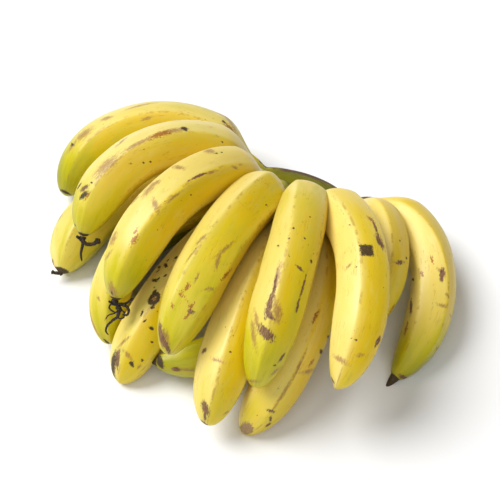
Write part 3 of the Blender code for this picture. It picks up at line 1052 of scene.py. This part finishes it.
    def build(self) -> Piece:
        """Make the finger's closed mesh with the attributes that its peel reads."""
        plan = self.plan
        rings, stations, angles = self.surface()
        nub, steps = self.nub_rings(rings[-1])
        rings = np.concatenate([rings, nub])
        piece = closed_tube(plan.name, rings)
        reach = np.concatenate([stations, plan.length + plan.nub.length * steps])
        self.dress(piece, reach, angles, rings[:, :, 0])
        return piece

    def dress(self, piece: Piece, reach: Array, angles: Array, across: Array) -> None:
        """Store what the peel reads: seamless coordinates in centimetres, ridges, greens and marks.

        Args:
            piece: The finger's object.
            reach: The distance from the crown at each ring.
            angles: The angles round the finger.
            across: Each point's place along the crown.
        """
        plan = self.plan
        radius = np.maximum(self.radius(np.minimum(reach, plan.length)), self.least_radius)
        half, step = plan.girth / 20, self.seed_step * self.seed
        circle = half * np.cos(angles)[None, :] + step, half * np.sin(angles)[None, :]
        place = np.stack(np.broadcast_arrays(*circle, reach[:, None] / 10), axis=-1)
        ridge = 0.5 + 0.5 * np.cos(self.shape.ridges * self.ridge_angles(angles, reach))
        neck, dark = crown_greens(reach[:, None], across)
        fields = {
            "ridge": ridge * smooth_step(20.0, 60.0, reach)[:, None],
            "green": np.clip(self.greenness(reach, angles) + neck, 0.0, 1.0),
            "dark": dark,
            "pale": np.full(ridge.shape, plan.hue.pale),
            # painted light: 1 on the side facing the key light, -1 on the side in shade
            "painted_light_side": self.painted_light_side(reach, angles),
        }
        for kind in Mark:
            marks = [mark.field(reach, angles, radius) for mark in self.marks.get(kind, ())]
            fields[kind.value] = np.max([np.zeros(ridge.shape), *marks], axis=0)
        past = reach - plan.length
        stub = plan.nub.dryness * smooth_step(-1.8, 0.8, past)
        dot = 0.62 * smooth_step(plan.nub.length * 0.93, plan.nub.length, past)
        bruise = Mark.BRUISE.value
        fields[bruise] = np.maximum(fields[bruise], np.maximum(stub, dot)[:, None])
        self.store(piece, "skin_point", place.reshape(-1, 3))
        for name, values in fields.items():
            self.store(piece, name, values.ravel())

    @staticmethod
    def store(piece: Piece, name: str, values: Array) -> None:
        """Store a grid's attribute, repeating its first and last value on the two poles."""
        set_attribute(piece, name, np.concatenate([values, values[:1], values[-1:]]))


@dataclass
class Crown:
    """The crown: its pad and every finger's neck grown into one skin, and its flat cut face."""

    plan: CrownPlan
    fingers: tuple[Finger, ...]
    pad_rows: int = 60
    pad_sides: int = 120
    neck_rows: int = 30
    neck_sides: int = 40
    neck_root: float = -3.0
    neck_reach: float = 31.0
    neck_proud: float = 1.0
    neck_sink: float = 3.4
    neck_sink_start: float = 12.0
    voxel: float = 1.3
    smoothing: int = 14
    face_rings: int = 30
    face_sides: int = 200
    face_reach: float = 80.0
    halvings: int = 40
    rim_height: float = 0.5
    rim_share: float = 0.25
    rim_root: float = -1.2
    face_drop: float = 1.6
    face_ripple: float = 0.35
    ripples: int = 9

    def pad_rings(self) -> Array:
        """Return the pad's rings: a squared ellipsoid, whose cosines are raised to a power below 1."""
        plan = self.plan
        side, out, up = plan.axes()
        level = np.linspace(-math.pi / 2, math.pi / 2, self.pad_rows + 2)[1:-1]
        turn = ring_angles(self.pad_sides)
        reach = np.cos(level) ** plan.squareness
        height = np.sign(level) * np.abs(np.sin(level)) ** plan.squareness
        height = height * np.where(height > 0.0, plan.above, plan.below)
        across = plan.half_width * reach[:, None] * np.sin(turn)
        ahead = plan.half_depth * reach[:, None] * np.cos(turn)
        return plan.heart() + across[..., None] * side + ahead[..., None] * out + height[:, None, None] * up

    def neck_tube(self, finger: Finger) -> Array:
        """Return a finger's first rings: proud of its skin at the crown, sunk under it farther out."""
        stations = np.linspace(self.neck_root, self.neck_reach, self.neck_rows)
        near = np.clip(stations, 0.0, None)
        along, up, side = finger.frames(near)
        middle = finger.axis(near) + along * np.minimum(stations, 0.0)[:, None]
        sunk = self.neck_sink * smooth_step(self.neck_sink_start, self.neck_reach, stations)
        reach = (finger.radius(near) + (self.neck_proud - sunk))[:, None, None]
        return middle[:, None, :] + reach * ring_spokes(ring_angles(self.neck_sides), up, side)

    def grow(self) -> Piece:
        """Join the pad and the necks into one smooth skin by a fine voxel remesh."""
        points, faces = [with_poles(self.pad_rings())], tube_faces(self.pad_rows, self.pad_sides)
        closed = tube_faces(self.neck_rows, self.neck_sides)
        for finger in self.fingers:
            count = sum(map(len, points))
            faces += [[corner + count for corner in face] for face in closed]
            points.append(with_poles(self.neck_tube(finger)))
        rough = mesh_object("crown_rough", np.vstack(points), faces)
        remesh = rough.modifiers.new("Grow", "REMESH")
        remesh.mode = "VOXEL"
        remesh.voxel_size = self.voxel * MM
        remesh.adaptivity = 0.0
        soften = rough.modifiers.new("Soften", "SMOOTH")
        soften.factor = 0.5
        soften.iterations = self.smoothing
        graph = bpy.context.evaluated_depsgraph_get()
        grown = bpy.data.meshes.new_from_object(rough.evaluated_get(graph))
        bpy.data.objects.remove(rough, do_unlink=True)
        grown.name = "crown"
        return link("crown", grown)

    def build_skin(self) -> Piece:
        """Make the crown's skin, cut flat at the back and under, with what its peel reads."""
        crown = self.grow()
        mesh = crown.data
        flat = np.empty(len(mesh.vertices) * 3, dtype=np.float32)
        mesh.vertices.foreach_get("co", flat)
        points = flat.reshape(-1, 3).astype(float) / MM + HAND_MIDDLE
        edge, normal = self.plan.cut_plane()
        beyond = np.maximum((points - edge) @ normal, 0.0)
        points -= beyond[:, None] * normal
        points[:, 2] = np.maximum(points[:, 2], 0.0)
        mesh.vertices.foreach_set("co", ((points - HAND_MIDDLE) * MM).astype(np.float32).ravel())
        mesh.update()
        mesh.shade_smooth()
        self.dress(crown, points)
        return crown

    def neck_distance(self, points: Array) -> Array:
        """Return how far along the nearest neck each point lies, fading to 0 on the pad between necks."""
        stations = np.linspace(0.0, self.neck_reach + 6.0, 24)
        best, reach = np.full(len(points), np.inf), np.zeros(len(points))
        for finger in self.fingers:
            gaps = np.linalg.norm(points[:, None, :] - finger.axis(stations)[None], axis=2)
            gap = gaps.min(axis=1)
            reach = np.where(gap < best, stations[gaps.argmin(axis=1)], reach)
            best = np.minimum(gap, best)
        return reach * (1.0 - smooth_step(11.0, 16.0, best))

    def dress(self, crown: Piece, points: Array) -> None:
        """Store the peel's attributes, which run on from the crown to each neck.

        The skin is dry in a wavy rim along the cut, in one scab above it and in short creases.
        """
        edge, normal = self.plan.cut_plane()
        across, depth = points[:, 0], (edge - points) @ normal
        reach = self.neck_distance(points)
        green, dark = crown_greens(reach, across)
        ripple = 2.5 * np.sin(across / 11.0 + 1.0) - 5.0 * bell(across, middle=-4.0, width=18.0)
        rim = 1.0 - smooth_step(5.0, 21.0, depth + ripple)
        scab = 0.8 * bell(across, middle=-18.0, width=7.0) * bell(depth, middle=20.0, width=5.0)
        bend = 1.3 * np.sin(across / 13.0 + depth / 7.0) + 0.7 * np.sin(across / 4.7 + 2.0)
        wave = np.sin((across + 0.8 * points[:, 1]) / 2.7 + bend)
        crease = 0.70 * smooth_step(0.66, 1.0, wave) * (1.0 - smooth_step(12.0, 38.0, depth))
        dry = np.maximum(np.maximum(rim, scab), crease * (reach < 18.0))
        plain = ("ridge", "pale", "painted_light_side", *(kind.value for kind in Mark))
        fields = {name: np.zeros(len(points)) for name in plain}
        fields |= {"skin_point": points / 10, "green": green + 0.06, "dark": dark, Mark.SCAR.value: dry}
        for name, values in fields.items():
            set_attribute(crown, name, values)

    def inside(self, points: Array) -> Array:
        """Return the pad's squared-ellipsoid function at points, which is 1 on its surface."""
        plan = self.plan
        side, out, up = plan.axes()
        offset = points - plan.heart()
        height = offset @ up
        flat = np.hypot(offset @ side / plan.half_width, offset @ out / plan.half_depth)
        power = 2.0 / plan.squareness
        return flat ** power + np.abs(height / np.where(height > 0.0, plan.above, plan.below)) ** power

    def build_face(self) -> Piece:
        """Make the cut face: the pad's outline on the cut plane, dished a little inside a raised rim.

        Each outline point is found along a spoke, by halving the interval between a point inside
        the pad and one outside it.
        """
        edge, normal = self.plan.cut_plane()
        heart = self.plan.heart()
        middle = heart + normal * float((edge - heart) @ normal)
        turn = ring_angles(self.face_sides)
        along = np.array([[0.0, normal[2], -normal[1]]])
        spokes = ring_spokes(turn, np.array([[1.0, 0.0, 0.0]]), along)[0]
        low, high = np.zeros(self.face_sides), np.full(self.face_sides, self.face_reach)
        for _ in range(self.halvings):
            trial = (low + high) / 2
            within = self.inside(middle + trial[:, None] * spokes) < 1.0
            low, high = np.where(within, trial, low), np.where(within, high, trial)
        outline = middle + low[:, None] * spokes
        centre = outline.mean(axis=0)
        shares = np.concatenate([[0.99], np.linspace(1.0, 0.03, self.face_rings)])
        fade = shares[:, None] ** 2 * (1.0 - shares[:, None])
        ripple = self.face_ripple * np.sin(turn * self.ripples)[None, :] * fade
        proud = self.rim_height - self.face_drop * smooth_step(0.0, self.rim_share, 1.0 - shares)
        proud[0] = self.rim_root
        rings = centre + (outline - centre)[None] * shares[:, None, None]
        rings = rings + normal * (proud[:, None] + ripple)[..., None]
        return closed_tube("crown_cut", rings)


@dataclass(frozen=True)
class Strand:
    """One dry strand: its radius at both ends, its points and a knob near its end.

    The points are measured from the middle of the finger's blossom end.
    """

    thick: float
    thin: float
    points: tuple[Point, ...]
    knob: float = 0.0

    def widths(self, shares: Array) -> Array:
        """Return the radius at shares of the length: tapered, with its knob, rounded off at the end."""
        width = self.thick + (self.thin - self.thick) * shares
        width = width + self.knob * bell(shares, middle=0.92, width=0.07)
        return width * np.sqrt(np.clip((1.0 - shares) * 14.0, 0.02, 1.0))


STRANDS: dict[str, tuple[Strand, ...]] = {
    "left_flower": (
        Strand(1.5, 1.0, ((0.5, -3.6, -3.0), (-1.4, -4.2, -1.6), (-2.6, -5.6, 1.6))),
        Strand(1.6, 1.5, ((0.6, -3.6, -3.0), (2.9, -4.6, -4.2), (5.6, -4.4, -4.6), (9.1, -2.4, -4.2),
                               (12.1, 1.6, -2.0)), knob=1.3),
        Strand(1.6, 0.7, ((0.8, -3.6, -3.0), (1.8, -5.6, -4.6), (2.4, -8.9, -7.1),
                               (3.1, -11.7, -9.3), (5.4, -14.9, -12.3))),
    ),
    "middle_flower": (
        Strand(1.5, 0.6, ((1.0, -3.2, -3.2), (4.6, -4.4, -4.8), (5.5, -9.0, -8.2),
                               (3.3, -12.5, -10.0), (1.3, -16.3, -12.0), (1.5, -19.6, -14.4),
                               (4.2, -20.8, -16.1))),
        Strand(1.3, 0.8, ((1.0, -3.0, -3.0), (7.9, -1.8, -3.8), (10.8, -2.8, -5.6),
                               (11.0, -5.6, -7.6), (7.9, -6.9, -7.5))),
        Strand(1.1, 0.7, ((1.0, -3.2, -3.2), (-1.0, -4.4, -2.6), (-2.2, -6.0, 1.2))),
        Strand(1.2, 0.6, ((2.0, -3.2, -3.2), (7.2, -0.8, -2.8), (9.2, 1.6, -1.6),
                               (10.6, 4.2, -0.2))),
        Strand(2.2, 1.7, ((3.0, -4.2, -4.2), (5.2, -5.2, -5.4), (6.4, -5.8, -6.6))),
        Strand(0.8, 0.6, ((2.0, -3.6, -3.6), (-1.4, -5.0, -3.4), (-1.8, -7.0, -5.4),
                               (1.6, -7.6, -7.0), (5.8, -6.6, -6.8))),
        Strand(0.7, 0.5, ((4.6, -5.2, -5.0), (8.6, -5.4, -6.2), (9.4, -8.2, -8.8), (6.2, -9.4, -9.4),
                               (4.0, -8.0, -7.6))),
        Strand(0.7, 0.4, ((5.0, -5.0, -5.0), (3.0, -8.4, -6.8), (-0.6, -10.6, -8.4),
                               (-2.0, -13.4, -11.0))),
    ),
    "lower_1_stub": (
        Strand(1.9, 1.2, ((0.4, 0.6, 0.0), (-0.6, -2.0, -0.6), (-3.2, -3.6, -0.4),
                               (-6.6, -4.4, 0.2)), knob=0.9),
        Strand(1.2, 0.8, ((0.6, 0.4, 0.0), (1.0, -2.0, -0.8), (0.2, -3.6, -1.4))),
    ),
    "lower_5_stub": (
        Strand(2.2, 1.4, ((0.6, 0.0, 0.0), (-2.2, -1.0, 0.4), (-4.4, -2.0, 1.4)), knob=0.6),
        Strand(1.8, 1.0, ((0.4, 0.2, -0.6), (-2.2, -0.6, -1.8), (-4.2, -1.2, -3.0)), knob=0.3),
    ),
}


@dataclass
class DriedFlower:
    """The dried flower on a finger's blossom end: its strands, and a stub unless its radius is 0."""

    name: str
    node: str
    slot: str
    finger: Finger
    strands: tuple[Strand, ...]
    stub_radius: float
    stub_length: float = 4.0
    stub_rows: int = 16
    gap: float = 0.4
    rows: int = 48
    sides: int = 14
    floor_gap: float = 0.2
    fullness: float = 1.1
    knobbles: float = 0.45
    facing: Point = (0.26, -0.56, 0.79)

    def build(self) -> list[Piece]:
        """Make the stub and each strand as closed tubes."""
        end, ahead = self.finger.end_point()
        start = end + ahead * (self.finger.plan.nub.length + self.gap)
        steps = np.linspace(0.0, 1.0, self.stub_rows)
        path = start + ahead * self.stub_length * steps[:, None]
        width = self.stub_radius * np.sqrt(np.clip(1.0 - (steps * 0.95) ** 3, 0.0, 1.0))
        pieces = [self.tube("stub", path, width, STUB_SEED)] if self.stub_radius else []
        shares = np.linspace(0.0, 1.0, self.rows)
        for number, strand in enumerate(self.strands):
            path = end + smooth_path(np.array(strand.points), self.rows)
            pieces.append(self.tube(f"strand_{number + 1}", path, strand.widths(shares), number))
        return pieces

    def tube(self, name: str, path: Array, width: Array, seed: int) -> Piece:
        """Make a closed, knobbly tube along a path.

        Args:
            name: The last part of the piece's name.
            path: Points along the middle.
            width: The radius at each point.
            seed: Fixes the knobbles.

        Returns:
            The tube's object.
        """
        draw = np.random.default_rng(seed + STRAND_SEED)
        along = unit(np.gradient(path, axis=0))
        side = unit(np.cross(along, np.array(self.facing)))
        spokes = ring_spokes(ring_angles(self.sides), side, np.cross(along, side))
        bumps = draw.random((len(path), self.sides))
        bumps = (bumps + np.roll(bumps, 1, axis=0) + np.roll(bumps, 1, axis=1)) / 3
        reach = width[:, None] * (self.fullness - self.knobbles * bumps)
        rings = path[:, None, :] + reach[:, :, None] * spokes
        return closed_tube(f"{self.name}_{name}", rings, self.floor_gap)


@dataclass(frozen=True)
class Sun:
    """A far, broad and soft light, even over the whole floor: its spread, and its strength in W/m2."""

    name: str
    towards: Point
    spread: float
    strength: float

    def hang(self) -> None:
        """Put the light into the scene, shining from where it lies to the hand."""
        data = bpy.data.lights.new(self.name, "SUN")
        data.angle = math.radians(self.spread)
        data.energy = self.strength
        aim(link(self.name, data), Vector(self.towards), Vector(self.towards))


@dataclass
class Studio:
    """The pale floor, the soft lights and the camera on the photograph's line of sight."""

    azimuth: float = 25.0
    elevation: float = 52.0
    distance: float = 900.0
    target: Point = (0.0, 0.0, 45.0)
    lens: float = 92.0
    sensor: float = 36.0
    shift: Span = (-0.004, 0.024)
    floor_half: float = 20.0
    floor_tone: float = 0.93
    world: float = 0.09
    suns: tuple[Sun, ...] = (Sun("key_light", (-0.60, -0.04, 0.79), 42.0, 3.35),
                             Sun("front_light", (0.30, -0.60, 0.74), 70.0, 1.15))

    def build(self) -> None:
        """Make the floor, lights, world and camera."""
        self.floor()
        for sun in self.suns:
            sun.hang()
        world = bpy.data.worlds.new("studio")
        world.use_nodes = True
        shade = world.node_tree.nodes["Background"]
        shade.inputs["Color"].default_value = (1.0, 1.0, 1.0, 1.0)
        shade.inputs["Strength"].default_value = self.world
        bpy.context.scene.world = world
        bpy.context.scene.view_settings.view_transform = "Standard"
        self.camera()

    def floor(self) -> None:
        """Lay a plain pale floor, whose half width is in metres."""
        mesh = bpy.data.meshes.new("floor")
        corners = ((-1, -1), (1, -1), (1, 1), (-1, 1))
        mesh.from_pydata([(x * self.floor_half, y * self.floor_half, 0.0) for x, y in corners], [],
                         [(0, 1, 2, 3)])
        material, sheet, shader = new_finish("floor_paint")
        tone = (self.floor_tone, self.floor_tone, self.floor_tone, 1.0)
        for name, value in {"Base Color": tone, "Roughness": 0.9, "Specular IOR Level": 0.1}.items():
            sheet.feed(shader.inputs[name], value)
        mesh.materials.append(material)
        link("floor", mesh)

    def camera(self) -> None:
        """Place the camera."""
        back = Vector(heading_vector(self.azimuth, -self.elevation))
        target = Vector((np.array(self.target) - HAND_MIDDLE) * MM)
        data = bpy.data.cameras.new("camera")
        data.lens = self.lens
        data.sensor_width = self.sensor
        data.shift_x, data.shift_y = self.shift
        data.dof.use_dof = False
        camera = link("camera", data)
        aim(camera, target + back * self.distance * MM, back)
        bpy.context.scene.camera = camera


@dataclass
class BananaHand:
    """The whole hand: its fingers, crown and dried flowers."""

    crown: CrownPlan = CrownPlan()
    shape: SkinShape = SkinShape()

    @staticmethod
    def flowers(fingers: dict[str, Finger]) -> tuple[DriedFlower, ...]:
        """Return the two dried flowers, and the black remains of two more without a stub."""
        rows = (("left_flower", "dried_flower_left", FLOWER_SLOT, "upper_2", 2.9),
                ("middle_flower", "dried_flower_middle", FLOWER_SLOT, "upper_3", 2.9),
                ("lower_1_stub", HAND_NODE, SKIN_SLOT, "lower_1", 0.0),
                ("lower_5_stub", HAND_NODE, SKIN_SLOT, "lower_5", 0.0))
        return tuple(DriedFlower(name, node, slot, fingers[finger], STRANDS[name], radius)
                     for name, node, slot, finger, radius in rows)

    def build(self) -> None:
        """Build and dress every piece."""
        effects = SharedEffects()
        peel = PeelFinish().material(effects)
        dry = DRY_FLOWER.material(effects)
        fingers = {}
        for number, plan in enumerate(PLANS):
            rows = MARKS.get(plan.name, {})
            marks = {kind: tuple(Blemish(*row) for row in group) for kind, group in rows.items()}
            finger = Finger(plan, self.crown, self.shape, number + 1, marks)
            fingers[plan.name] = finger
            self.place(finger.build(), peel, HAND_NODE, SKIN_SLOT)
        crown = Crown(self.crown, tuple(fingers.values()))
        self.place(crown.build_skin(), RIND.material(effects), HAND_NODE, SKIN_SLOT)
        self.place(crown.build_face(), PITH.material(effects), HAND_NODE, SKIN_SLOT)
        for flower in self.flowers(fingers):
            for piece in flower.build():
                self.place(piece, dry, flower.node, flower.slot)

    @staticmethod
    def place(piece: Piece, material: Material, node: str, slot: str) -> None:
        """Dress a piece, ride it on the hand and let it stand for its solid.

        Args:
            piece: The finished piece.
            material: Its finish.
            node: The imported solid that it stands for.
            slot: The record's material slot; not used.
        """
        piece.data.materials.append(material)
        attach(piece, "root")
        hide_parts(node)
        LOG.info("%s: %d faces", piece.name, len(piece.data.polygons))


def main() -> None:
    """Build the hand and the studio."""
    logging.basicConfig(level=logging.INFO, format="%(message)s")
    BananaHand().build()
    Studio().build()


if __name__ == "__main__":
    main()
